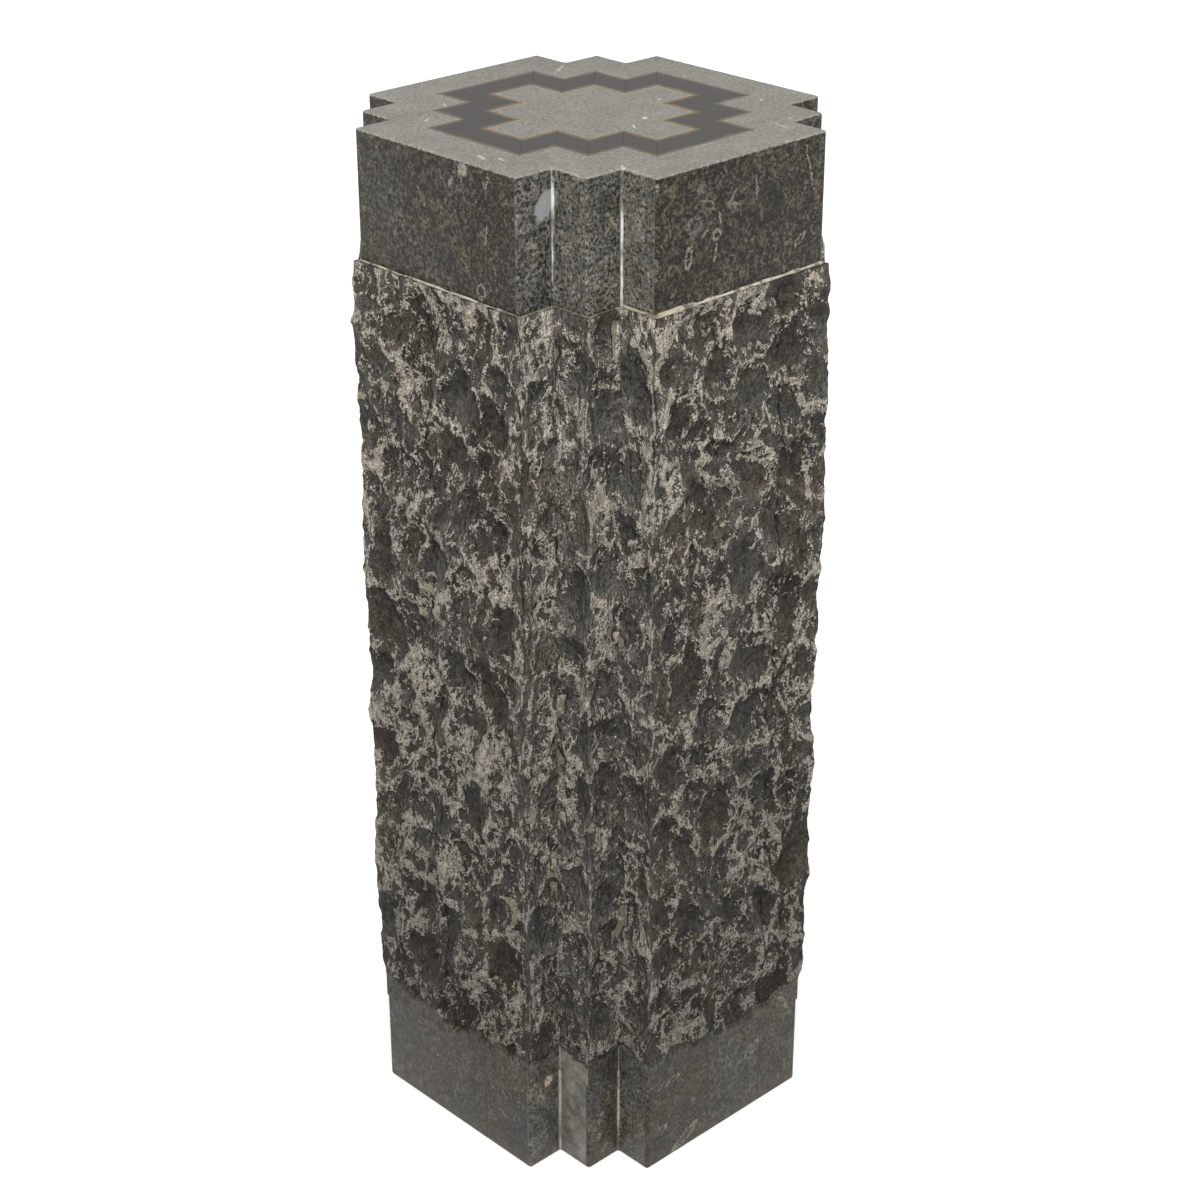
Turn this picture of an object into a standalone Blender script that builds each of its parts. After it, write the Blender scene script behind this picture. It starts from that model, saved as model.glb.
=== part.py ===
"""Stone pedestal with stepped corners, in three courses, with a stepped inlay in its top.

The plan is a square whose corners are cut back in two equal steps. A polished base block
carries a shaft of split-faced stone, and the shaft carries a polished cap. A band of mitred
strips and a centre field lie flush in a recess in the cap.
Metres, +Z up, origin under the middle of the base. The four wide faces look along X and Y.
"""
import bmesh
import bpy
import numpy as np

# Overall sizes
pedestal_height = 0.9144
cap_width = 0.337
shaft_width = 0.358
base_width = 0.344
corner_step = 0.037

# Courses
base_height = 0.090
cap_height = 0.109
bed_joint = 0.0003
base_arris = 0.003
cap_arris = 0.002
arris_segments = 2

# Inlay in the top: a centre field with the band round it, inside a border of cap stone
field_width = 0.1914
band_width = 0.033
inlay_thickness = 0.010
inlay_joint = 0.0003

# Split face of the shaft, cut back from the plane of its proudest ridges
swell_depth = 0.005
swell_length = 0.115
blow_width = 0.036
blow_height = 0.046
blow_bottom = 0.0060
blow_rise = 0.015
blow_uneven = 0.008
blow_lean = 0.012
blow_wander = 0.018
edge_margin = 0.024
edge_ease = 0.62
top_margin = 0.016
top_margin_depth = 0.0065
foot_rise = 0.018
foot_ragged = 0.008
foot_ragged_length = 0.017
foot_margin = 0.012
wide_face_columns = 14
step_face_columns = 2
shaft_rows = 46

# Colour, roughness and metallic value of each stone
finishes = {
    "polished_stone": ((0.078, 0.074, 0.062, 1.0), 0.38, 0.0),
    "split_stone": ((0.088, 0.080, 0.066, 1.0), 0.72, 0.0),
    "band_stone": ((0.125, 0.122, 0.112, 1.0), 0.32, 0.0),
    "field_stone": ((0.250, 0.245, 0.220, 1.0), 0.34, 0.0),
}


def clear_scene():
    """Remove every object that the file holds."""
    for thing in list(bpy.data.objects):
        bpy.data.objects.remove(thing, do_unlink=True)


def new_collection(name):
    """A collection of this name, linked to the scene."""
    collection = bpy.data.collections.new(name)
    bpy.context.scene.collection.children.link(collection)
    return collection


def stone(name, finish):
    """A plain stone material with one colour, roughness and metallic value."""
    colour, roughness, metallic = finishes[finish]
    material = bpy.data.materials.new(name + "_finish")
    material.use_nodes = True
    shader = material.node_tree.nodes["Principled BSDF"]
    shader.inputs["Base Color"].default_value = colour
    shader.inputs["Roughness"].default_value = roughness
    shader.inputs["Metallic"].default_value = metallic
    material.diffuse_color = colour
    return material


def stepped_outline(half_width, step=corner_step):
    """The twenty corners of a square whose corners are cut back in two steps.

    They run anticlockwise, starting at the lower end of the +X face. One corner's five
    points, in the quadrant of +X and +Y, are turned a quarter at a time for the others.
    """
    inner = half_width - 2 * step
    middle = half_width - step
    corner = np.array([
        (half_width, inner),
        (middle, inner),
        (middle, middle),
        (inner, middle),
        (inner, half_width),
    ])
    quarter_turn = np.array([(0.0, 1.0), (-1.0, 0.0)])
    turned = [corner @ np.linalg.matrix_power(quarter_turn, turn) for turn in range(4)]
    return np.concatenate(turned)


def inset(outline, distance):
    """Move each side of an anticlockwise outline inwards by a distance; a minus sign grows it."""
    before = outline - np.roll(outline, 1, axis=0)
    after = np.roll(outline, -1, axis=0) - outline
    before /= np.linalg.norm(before, axis=1, keepdims=True)
    after /= np.linalg.norm(after, axis=1, keepdims=True)
    turn = before[:, 0] * after[:, 1] - before[:, 1] * after[:, 0]
    return outline + distance * (after - before) / turn[:, None]


def add_object(name, mesh, finish, collection):
    """Put a mesh into a collection as an object with its own material."""
    thing = bpy.data.objects.new(name, mesh)
    collection.objects.link(thing)
    if finish:
        mesh.materials.append(stone(name, finish))
    return thing


def add_prism(name, outline, bottom, top, finish, collection, soft_end=None):
    """Extrude a flat outline from one height to another.

    soft_end is the height of the end whose edges are to be rounded. The upright edges
    that stick out are rounded with it, and both are marked by their bevel weight.
    """
    model = bmesh.new()
    ring = [model.verts.new((x, y, bottom)) for x, y in outline]
    floor = model.faces.new(ring)
    lifted = bmesh.ops.extrude_face_region(model, geom=[floor])["geom"]
    lifted_verts = [part for part in lifted if isinstance(part, bmesh.types.BMVert)]
    bmesh.ops.translate(model, verts=lifted_verts, vec=(0.0, 0.0, top - bottom))
    bmesh.ops.recalc_face_normals(model, faces=model.faces)
    if soft_end is not None:
        weight = model.edges.layers.float.new("bevel_weight_edge")
        for edge in model.edges:
            heights = [vert.co.z for vert in edge.verts]
            upright = abs(heights[0] - heights[1]) > (top - bottom) / 2
            at_soft_end = all(abs(height - soft_end) < (top - bottom) / 2 for height in heights)
            if at_soft_end or (upright and edge.is_convex):
                edge[weight] = 1.0
    mesh = bpy.data.meshes.new(name)
    model.to_mesh(mesh)
    model.free()
    return add_object(name, mesh, finish, collection)


def round_edges(thing, radius):
    """Round the edges that carry a bevel weight."""
    rounding = thing.modifiers.new("rounded_arrises", "BEVEL")
    rounding.limit_method = "WEIGHT"
    rounding.width = radius
    rounding.segments = arris_segments


def cut(thing, cutter):
    """Cut one closed mesh out of another and keep the cutter as a wire guide."""
    cutter.hide_render = True
    cutter.display_type = "WIRE"
    removal = thing.modifiers.new("cut_by_" + cutter.name, "BOOLEAN")
    removal.operation = "DIFFERENCE"
    removal.object = cutter


def lattice_number(column, row, salt):
    """A repeatable number from 0 to 1 for each place of a lattice of whole numbers."""
    mixed = (column * 374761393 + row * 668265263 + salt * 974634777) & 0xFFFFFFFF
    mixed = ((mixed ^ (mixed >> 13)) * 1274126177) & 0xFFFFFFFF
    return (mixed ^ (mixed >> 16)) / 0xFFFFFFFF


def drift(along, up, length, salt):
    """Slow rise and fall from 0 to 1: lattice numbers blended by a smoothstep between them."""
    column = np.floor(along / length).astype(np.int64)
    row = np.floor(up / length).astype(np.int64)
    across = along / length - column
    above = up / length - row
    across = across * across * (3 - 2 * across)
    above = above * above * (3 - 2 * above)
    low = lattice_number(column, row, salt) * (1 - across)
    low += lattice_number(column + 1, row, salt) * across
    high = lattice_number(column, row + 1, salt) * (1 - across)
    high += lattice_number(column + 1, row + 1, salt) * across
    return low * (1 - above) + high * above


def blow_depth(along, up, salt):
    """Depth that the chisel's blows leave, each of which took out a bowl.

    Each lattice cell holds one blow, off centre by a repeatable amount, and the stone lies at
    the deepest of the nearby bowls. With x and y counting cells from the blow's centre, a
    bowl's depth is its bottom + lean in x + lean in y - rise (x^2 + y^2). Two bowls meet in a
    ridge, and the ridges wander because the lattice itself is bent by a drift.
    """
    bent_along = along + blow_wander * (drift(along, up, blow_width, salt + 1) - 0.5)
    bent_up = up + blow_wander * (drift(along, up, blow_height, salt + 2) - 0.5)
    column = np.floor(bent_along / blow_width).astype(np.int64)
    row = np.floor(bent_up / blow_height).astype(np.int64)
    deepest = np.zeros(along.shape)
    for beside in (column - 1, column, column + 1):
        for level in (row - 1, row, row + 1):
            x = bent_along / blow_width - beside - lattice_number(beside, level, salt + 3)
            y = bent_up / blow_height - level - lattice_number(beside, level, salt + 4)
            bottom = blow_bottom + blow_uneven * (lattice_number(beside, level, salt + 5) - 0.5)
            lean_x = blow_lean * (lattice_number(beside, level, salt + 6) - 0.5)
            lean_y = blow_lean * (lattice_number(beside, level, salt + 7) - 0.5)
            bowl = bottom + lean_x * x + lean_y * y - blow_rise * (x * x + y * y)
            deepest = np.maximum(deepest, bowl)
    return deepest


def split_depth(along, up, length, height, salt):
    """How far the split face lies behind the plane of its proudest ridges.

    The face is a slow swell with bowls in it, which grow shallow towards the upright arrises.
    Under the cap it steadies to an even margin. At the foot it is ground into the plane of
    the base, up to a ragged line that is lowest in the middle of a wide face and rises
    towards the corners.
    """
    rough = swell_depth * drift(along, up, swell_length, salt) + blow_depth(along, up, salt)
    rough -= rough.min()
    from_edge = np.minimum(along, length - along)
    rough *= 1 - edge_ease * np.clip(1 - from_edge / edge_margin, 0.0, 1.0)
    near_top = np.clip(1 - (height - up) / top_margin, 0.0, 1.0)
    rough += (top_margin_depth - rough) * near_top
    flush_depth = (shaft_width - base_width) / 2
    from_corner = from_edge / (shaft_width / 2 - 2 * corner_step)
    ground_line = foot_rise * (1 - from_corner)
    ground_line += foot_ragged * drift(along, up * 0, foot_ragged_length, salt + 8)
    above_ground = np.clip((up - ground_line) / foot_margin, 0.0, 1.0)
    return flush_depth + (rough - flush_depth) * above_ground


def split_face_rings(bottom, top):
    """Plan points of the shaft, one ring of columns for each row of heights.

    Each side of the stepped outline carries its own split face. A corner is moved by the
    depths of both its sides, and the columns between two corners are spread evenly.
    """
    outline = stepped_outline(shaft_width / 2)
    heights = np.linspace(0.0, top - bottom, shaft_rows + 1)
    sides = []
    for index, start in enumerate(outline):
        end = outline[(index + 1) % len(outline)]
        length = np.linalg.norm(end - start)
        is_wide = length > 1.5 * corner_step
        columns = wide_face_columns if is_wide else step_face_columns
        shares = np.linspace(0.0, 1.0, columns + 1)
        along, up = np.meshgrid(shares * length, heights)
        direction = (end - start) / length
        outward = np.array([direction[1], -direction[0]])
        depth = split_depth(along, up, length, top - bottom, 11 * index)
        sides.append((start, shares, depth, outward))
    corners = []
    for index, (start, shares, depth, outward) in enumerate(sides):
        depth_before = sides[index - 1][2][:, -1:]
        outward_before = sides[index - 1][3]
        corners.append(start - depth_before * outward_before - depth[:, :1] * outward)
    rings = []
    for index, (start, shares, depth, outward) in enumerate(sides):
        first = corners[index][:, None, :]
        last = corners[(index + 1) % len(corners)][:, None, :]
        points = first + (last - first) * shares[None, :-1, None]
        off_plane = (points - start) @ outward + depth[:, :-1]
        rings.append(points - off_plane[:, :, None] * outward)
    return np.concatenate(rings, axis=1), heights + bottom


def add_split_shaft(name, bottom, top, finish, collection):
    """Loft the split-faced shaft through its rings and close both ends."""
    rings, heights = split_face_rings(bottom, top)
    model = bmesh.new()
    loops = []
    for ring, height in zip(rings, heights):
        loops.append([model.verts.new((x, y, height)) for x, y in ring])
    for lower, upper in zip(loops, loops[1:]):
        for here in range(len(lower)):
            model.faces.new((lower[here - 1], lower[here], upper[here], upper[here - 1]))
    model.faces.new(reversed(loops[0]))
    model.faces.new(loops[-1])
    mesh = bpy.data.meshes.new(name)
    model.to_mesh(mesh)
    model.free()
    return add_object(name, mesh, finish, collection)


clear_scene()
parts = new_collection("stepped_stone_pedestal")
cutters = new_collection("cutters")

shaft_top = pedestal_height - cap_height
recess_floor = pedestal_height - inlay_thickness
half_joint = inlay_joint / 2

# Base block: polished, its foot edge and outer corners rounded
base_outline = stepped_outline(base_width / 2)
base = add_prism("base_block", base_outline, 0.0, base_height, "polished_stone", parts, 0.0)
round_edges(base, base_arris)

# Shaft: split-faced on all its twenty sides
add_split_shaft("split_shaft", base_height + bed_joint, shaft_top - bed_joint, "split_stone", parts)

# Cap block: polished, its top edge and outer corners rounded, with the recess for the inlay
cap_outline = stepped_outline(cap_width / 2)
cap = add_prism(
    "cap_block", cap_outline, shaft_top, pedestal_height, "polished_stone", parts, pedestal_height
)
round_edges(cap, cap_arris)
band_outside = stepped_outline(field_width / 2 + band_width)
recess = add_prism(
    "inlay_recess",
    inset(band_outside, -half_joint),
    recess_floor - bed_joint,
    pedestal_height + inlay_thickness,
    None,
    cutters,
)
cut(cap, recess)

# Band: one mitred strip for each side of the stepped outline
band_inside = stepped_outline(field_width / 2)
for index in range(len(band_outside)):
    following = (index + 1) % len(band_outside)
    strip = np.array([
        band_outside[index],
        band_outside[following],
        band_inside[following],
        band_inside[index],
    ])
    add_prism(
        f"band_strip_{index + 1:02d}",
        inset(strip, half_joint),
        recess_floor,
        pedestal_height,
        "band_stone",
        parts,
    )

# Centre field: one plate inside the band
add_prism(
    "centre_field", inset(band_inside, half_joint), recess_floor, pedestal_height, "field_stone", parts
)
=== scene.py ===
"""Dressed scene of a stone pedestal with stepped corners and a stepped inlay in its top."""
import math

import bpy
import numpy as np
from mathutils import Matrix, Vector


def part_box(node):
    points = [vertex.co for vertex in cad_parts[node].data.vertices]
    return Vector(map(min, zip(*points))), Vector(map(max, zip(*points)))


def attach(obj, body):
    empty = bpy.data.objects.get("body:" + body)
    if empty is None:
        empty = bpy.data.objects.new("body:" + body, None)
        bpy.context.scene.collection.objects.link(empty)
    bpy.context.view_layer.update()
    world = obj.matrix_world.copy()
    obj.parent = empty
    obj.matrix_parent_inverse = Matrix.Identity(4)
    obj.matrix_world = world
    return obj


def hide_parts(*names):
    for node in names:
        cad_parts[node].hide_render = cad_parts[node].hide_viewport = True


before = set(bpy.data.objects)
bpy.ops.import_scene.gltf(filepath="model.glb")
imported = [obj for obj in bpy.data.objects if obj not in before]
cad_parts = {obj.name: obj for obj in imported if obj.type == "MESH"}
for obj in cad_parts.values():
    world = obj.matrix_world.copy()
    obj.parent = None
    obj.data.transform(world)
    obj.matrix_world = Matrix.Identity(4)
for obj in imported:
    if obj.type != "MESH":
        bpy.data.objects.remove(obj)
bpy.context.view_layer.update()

# Camera, floor and light
# A plain studio: the camera looks down on the corner between the -X and -Y faces, a white
# floor runs out of view, a broad light shines from behind the camera and a weak one from above.
camera_place = (-1.3714, -1.4333, 1.4462)
camera_turn = 43.922
camera_dip = 26.066
camera_lens = 75.03
camera_data = bpy.data.cameras.new("camera")
camera_data.lens = camera_lens
camera_data.sensor_width = 36.0
camera = bpy.data.objects.new("camera", camera_data)
camera.location = camera_place
camera.rotation_euler = (math.radians(90 - camera_dip), 0.0, math.radians(-camera_turn))
bpy.context.scene.collection.objects.link(camera)
bpy.context.scene.camera = camera
bpy.context.scene.view_settings.view_transform = "Standard"

floor_width = 60.0
bpy.ops.mesh.primitive_plane_add(size=floor_width)
floor = bpy.context.object
floor.name = "studio_floor"
floor_paint = bpy.data.materials.new("white_floor")
floor_paint.use_nodes = True
floor_shader = floor_paint.node_tree.nodes["Principled BSDF"]
floor_shader.inputs["Base Color"].default_value = (0.93, 0.93, 0.92, 1.0)
floor_shader.inputs["Roughness"].default_value = 0.9
floor_shader.inputs["Specular IOR Level"].default_value = 0.1
floor.data.materials.append(floor_paint)


def add_soft_sun(name, turn, height, strength, softness):
    """A sun that shines from a compass turn and a height above the floor, in degrees."""
    lamp = bpy.data.lights.new(name, "SUN")
    lamp.energy = strength
    lamp.angle = math.radians(softness)
    holder = bpy.data.objects.new(name, lamp)
    holder.rotation_euler = (math.radians(90 - height), 0.0, math.radians(-turn))
    bpy.context.scene.collection.objects.link(holder)


add_soft_sun("sun_front", camera_turn, 46.0, 3.8, 14.0)
add_soft_sun("sun_above", camera_turn - 40.0, 75.0, 0.3, 60.0)
studio = bpy.data.worlds.new("studio")
studio.use_nodes = True
studio.node_tree.nodes["Background"].inputs["Color"].default_value = (1.0, 1.0, 1.0, 1.0)
studio.node_tree.nodes["Background"].inputs["Strength"].default_value = 0.42
bpy.context.scene.world = studio


# Base course
# The foot is clad in tiles of dark fossil limestone, honed and waxed, over a stepped plan.
# Its foot edge and upright arrises are rubbed round, and the inner corners are rounded in a
# small cove with a painted highlight in it. The tiles meet in hair-thin upright seams.
corner_step = 0.037
arc_points = 5
seam_width = 0.0007
seam_depth = 0.0003
cove_round = 0.0022
foot_round = 0.003
sharp_round = 0.0002
bed_gap = 0.00005


def stepped_corners(half_width):
    """The twenty corners of a square cut back in two steps at each corner, anticlockwise.

    With h the half width and s the step, one corner runs through (h, h-2s), (h-s, h-2s),
    (h-s, h-s), (h-2s, h-s) and (h-2s, h), and a quarter turn gives the next. A larger or
    smaller h moves every side out or in by the same distance.
    """
    inner = half_width - 2 * corner_step
    middle = half_width - corner_step
    corner = np.array([
        (half_width, inner), (middle, inner), (middle, middle), (inner, middle),
        (inner, half_width),
    ])
    quarter_turn = np.array([(0.0, 1.0), (-1.0, 0.0)])
    return np.concatenate([corner @ np.linalg.matrix_power(quarter_turn, n) for n in range(4)])


def side_line(outline, side):
    """The start, end, length and way out of one side of an outline."""
    start = outline[side % 20]
    end = outline[(side + 1) % 20]
    length = np.linalg.norm(end - start)
    way = (end - start) / length
    return start, end, length, np.array([way[1], -way[0]])


def lattice_number(column, row, salt):
    """A repeatable number from 0 to 1 for each place of a lattice of whole numbers."""
    mixed = (column * 374761393 + row * 668265263 + salt * 974634777) & 0xFFFFFFFF
    mixed = ((mixed ^ (mixed >> 13)) * 1274126177) & 0xFFFFFFFF
    return (mixed ^ (mixed >> 16)) / 0xFFFFFFFF


def tile_tones(tones, side, seams):
    """The tone of each tile on a side: those named, or else numbers from 0 to 1 by place."""
    if side in tones:
        return tones[side]
    return [float(lattice_number(tile, side, 71)) for tile in range(len(seams) + 1)]


def course_ring(half_width, outer_round, inner_round, seams, tones):
    """Plan points of one level of a polished course, with the tile tone, seam and cove there.

    Each corner is a quarter circle: centre = corner - r a + r b and point = centre
    - r b cos t + r a sin t, where a is the way in, b the way out and r the radius. A seam
    has one point on either side of it and one in its groove.
    """
    corners = stepped_corners(half_width)
    ways = np.roll(corners, -1, axis=0) - corners
    ways = ways / np.linalg.norm(ways, axis=1, keepdims=True)
    ways_before = np.roll(ways, 1, axis=0)
    sticks_out = ways_before[:, 0] * ways[:, 1] - ways_before[:, 1] * ways[:, 0] > 0
    rounds = np.where(sticks_out, outer_round, inner_round)
    bend = np.linspace(0.0, math.pi / 2, arc_points)[:, None]
    points = []
    looks = []
    for side in range(20):
        way_in, way_out = ways_before[side], ways[side]
        centre = corners[side] - rounds[side] * way_in + rounds[side] * way_out
        arc = centre + rounds[side] * (way_in * np.sin(bend) - way_out * np.cos(bend))
        side_seams = seams.get(side, ())
        side_tones = tile_tones(tones, side, side_seams)
        arc_looks = np.zeros((arc_points, 3))
        arc_looks[:, 0] = side_tones[0]
        arc_looks[1:-1, 2] = 0.0 if sticks_out[side] else 1.0
        points.append(arc)
        looks.append(arc_looks)
        start = corners[side] + rounds[side] * way_out
        end = corners[(side + 1) % 20] - rounds[(side + 1) % 20] * way_out
        inward = np.array([-way_out[1], way_out[0]])
        for tile, share in enumerate(side_seams):
            seam = start + (end - start) * share
            edge = way_out * seam_width / 2
            points.append(np.array([seam - edge, seam + seam_depth * inward, seam + edge]))
            before, after = side_tones[tile], side_tones[tile + 1]
            looks.append(np.array([(before, 0.0, 0.0), (before, 1.0, 0.0), (after, 0.0, 0.0)]))
        last_look = np.array([(side_tones[-1], 0.0, 0.0)])
        points.append(np.array([end - way_out * seam_width]))
        looks.append(last_look)
    return np.concatenate(points), np.concatenate(looks)


def build_mesh(name, places, faces):
    """A mesh from vertex places and faces."""
    mesh = bpy.data.meshes.new(name)
    mesh.from_pydata(places.reshape(-1, 3).tolist(), [], faces)
    mesh.update()
    return mesh


def loft(name, rings, heights):
    """A closed mesh through rings of plan points, quads between neighbours and a flat lid on
    each end."""
    rows, count = rings.shape[:2]
    places = np.empty((rows, count, 3))
    places[:, :, :2] = rings
    places[:, :, 2] = np.asarray(heights)[:, None]
    index = np.arange(rows * count).reshape(rows, count)
    beside = np.roll(index, -1, axis=1)
    quads = np.stack([index[:-1], beside[:-1], beside[1:], index[1:]], axis=-1).reshape(-1, 4)
    faces = quads.tolist() + [index[0][::-1].tolist(), index[-1].tolist()]
    return build_mesh(name, places, faces)


def keep_look(mesh, name, values):
    """Keep one number for each vertex under a name that a material can read."""
    layer = mesh.attributes.new(name, "FLOAT", "POINT")
    layer.data.foreach_set("value", np.ascontiguousarray(values, dtype=np.float32).ravel())


def smooth_below(mesh, degrees):
    """Shade a mesh smooth, but for edges that turn by more than an angle."""
    mesh.shade_smooth()
    mesh.set_sharp_from_angle(angle=math.radians(degrees))


def add_piece(name, mesh, material, slot_name, *nodes):
    """Put a mesh in the scene as a piece of the pedestal that stands for CAD nodes."""
    piece = bpy.data.objects.new(name, mesh)
    bpy.context.scene.collection.objects.link(piece)
    mesh.materials.append(material)
    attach(piece, "root")
    if nodes:
        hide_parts(*nodes)


def add_course(name, rings, looks, heights, material, node):
    """Loft a polished course through its rings and add it in a node's place."""
    mesh = loft(name, np.array(rings), heights)
    for layer, look_name in enumerate(("tile_tone", "seam", "cove")):
        keep_look(mesh, look_name, np.array(looks)[:, :, layer])
    smooth_below(mesh, 40)
    add_piece(name, mesh, material, "polished_stone", node)


class Wiring:
    """Short ways to add and join the nodes of one material or node group."""

    def __init__(self, tree):
        self.tree = tree

    def node(self, kind, **settings):
        """A new node of a kind, with its properties set."""
        made = self.tree.nodes.new(kind)
        for key, value in settings.items():
            setattr(made, key, value)
        return made

    def put(self, socket, value):
        """Join a socket to an input, or set the input to a plain value or an opaque colour."""
        if isinstance(value, bpy.types.NodeSocket):
            self.tree.links.new(value, socket)
        elif socket.type == "RGBA":
            socket.default_value = (*value, 1.0)
        else:
            socket.default_value = value

    def maths(self, operation, first, second=0.0, third=0.0):
        """A Math node's result."""
        made = self.node("ShaderNodeMath", operation=operation)
        for socket, value in zip(made.inputs, (first, second, third)):
            self.put(socket, value)
        return made.outputs[0]

    def minus(self, first, second):
        """The difference of two numbers."""
        return self.maths("SUBTRACT", first, second)

    def times(self, first, second):
        """The product of two numbers."""
        return self.maths("MULTIPLY", first, second)

    def line(self, value, slope, offset):
        """A value times a slope, plus an offset."""
        return self.maths("MULTIPLY_ADD", value, slope, offset)

    def parts(self, vector, kind="XYZ"):
        """The x, y and z of a vector, or the red, green and blue of a colour."""
        made = self.node("ShaderNodeSeparate" + kind)
        self.put(made.inputs[0], vector)
        return made.outputs

    def vector(self, operation, first, second, third=None):
        """A Vector Math node's vector, or its number for a dot product."""
        made = self.node("ShaderNodeVectorMath", operation=operation)
        self.put(made.inputs[0], first)
        self.put(made.inputs[1], second)
        if third is not None:
            self.put(made.inputs[2], third)
        return made.outputs["Value" if operation == "DOT_PRODUCT" else "Vector"]

    def noise(self, place, scale, detail=4.0, roughness=0.55, output="Fac"):
        """A Noise Texture's value, about 0.5 with most of it from 0.3 to 0.7."""
        made = self.node("ShaderNodeTexNoise")
        self.put(made.inputs["Vector"], place)
        made.inputs["Scale"].default_value = scale
        made.inputs["Detail"].default_value = detail
        made.inputs["Roughness"].default_value = roughness
        return made.outputs[output]

    def cells(self, place, scale, feature="F1"):
        """A Voronoi Texture's outputs."""
        made = self.node("ShaderNodeTexVoronoi", feature=feature)
        self.put(made.inputs["Vector"], place)
        made.inputs["Scale"].default_value = scale
        return made.outputs

    def rise(self, value, low, high):
        """A smooth rise from 0 at low to 1 at high, or a fall where low is the larger."""
        made = self.node("ShaderNodeMapRange", interpolation_type="SMOOTHSTEP")
        self.put(made.inputs["Value"], value)
        self.put(made.inputs["From Min"], low)
        self.put(made.inputs["From Max"], high)
        return made.outputs["Result"]

    def blend(self, share, first, second, mode="MIX"):
        """A mix of two colours."""
        made = self.node("ShaderNodeMix", data_type="RGBA", blend_type=mode)
        self.put(made.inputs[0], share)
        self.put(made.inputs[6], first)
        self.put(made.inputs[7], second)
        return made.outputs[2]

    def lay(self, tint, strength, mask, colour):
        """A tint laid over a colour where a mask shows, at a strength."""
        return self.blend(self.times(mask, strength), colour, tint)

    def scaled(self, colour, factor):
        """A colour times a number."""
        made = self.node("ShaderNodeVectorMath", operation="SCALE")
        self.put(made.inputs[0], colour)
        self.put(made.inputs["Scale"], factor)
        return made.outputs["Vector"]

    def group(self, tree, **inputs):
        """A node group with its inputs set; an underscore stands for a space in a name."""
        made = self.node("ShaderNodeGroup")
        made.node_tree = tree
        for key, value in inputs.items():
            self.put(made.inputs[key.replace("_", " ")], value)
        return made

    def look(self, name):
        """The number kept at each vertex under a name."""
        return self.node("ShaderNodeAttribute", attribute_name=name).outputs["Fac"]

    def place(self):
        """Object coordinates, which are the pedestal's own metres."""
        return self.node("ShaderNodeTexCoord").outputs["Object"]

    def bump(self, shader, height, strength, distance):
        """Feed a height to the shader's normal."""
        made = self.node("ShaderNodeBump")
        made.inputs["Strength"].default_value = strength
        made.inputs["Distance"].default_value = distance
        self.put(made.inputs["Height"], height)
        self.put(shader.inputs["Normal"], made.outputs["Normal"])


def start_group(name, inputs, outputs):
    """A new node group with named sockets, and its wiring, way in and way out."""
    tree = bpy.data.node_groups.new(name, "ShaderNodeTree")
    kinds = {"number": "Float", "vector": "Vector", "colour": "Color"}
    for way, sockets in (("INPUT", inputs), ("OUTPUT", outputs)):
        for socket, kind in sockets.items():
            socket_type = "NodeSocket" + kinds[kind]
            tree.interface.new_socket(socket, in_out=way, socket_type=socket_type)
    wire = Wiring(tree)
    way_in = wire.node("NodeGroupInput")
    way_out = wire.node("NodeGroupOutput")
    return tree, wire, way_in.outputs, way_out.inputs


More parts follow.
